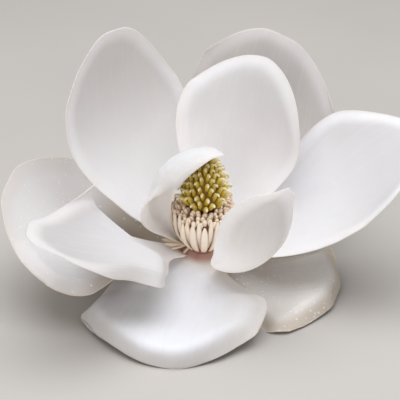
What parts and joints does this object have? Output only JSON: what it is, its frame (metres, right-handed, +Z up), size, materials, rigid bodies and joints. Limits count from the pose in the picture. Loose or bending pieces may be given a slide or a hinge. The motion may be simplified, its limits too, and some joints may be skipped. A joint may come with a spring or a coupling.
{
  "type": "magnolia flower",
  "caption": "Open southern magnolia bloom: broad white petals in three rings round a cone of cream stamens and olive carpels, on a short cut stalk",
  "frame": {"origin": "middle of the bounding box, on the surface the bloom lies on", "axes": "+Z up off the surface; -Y towards the front petal and the viewer; +X to the viewer's right"},
  "size_m": [0.2096, 0.1842, 0.1225],
  "materials": {
    "petal": "waxy white petal",
    "stamens": "cream, matte",
    "pistils": "olive green with cream styles",
    "stem": "velvety green-brown"
  },
  "bodies": {
    "root": {"stem": "stem", "stamens": "stamens", "pistils": "pistils", "petal_front": "petal", "petal_right": "petal", "petal_back_left": "petal", "petal_back": "petal", "petal_lower_left": "petal", "petal_lower_right": "petal", "petal_inner_right": "petal", "petal_inner_left": "petal", "petal_inner_back": "petal", "petal_hood": "petal"}
  },
  "joints": []
}
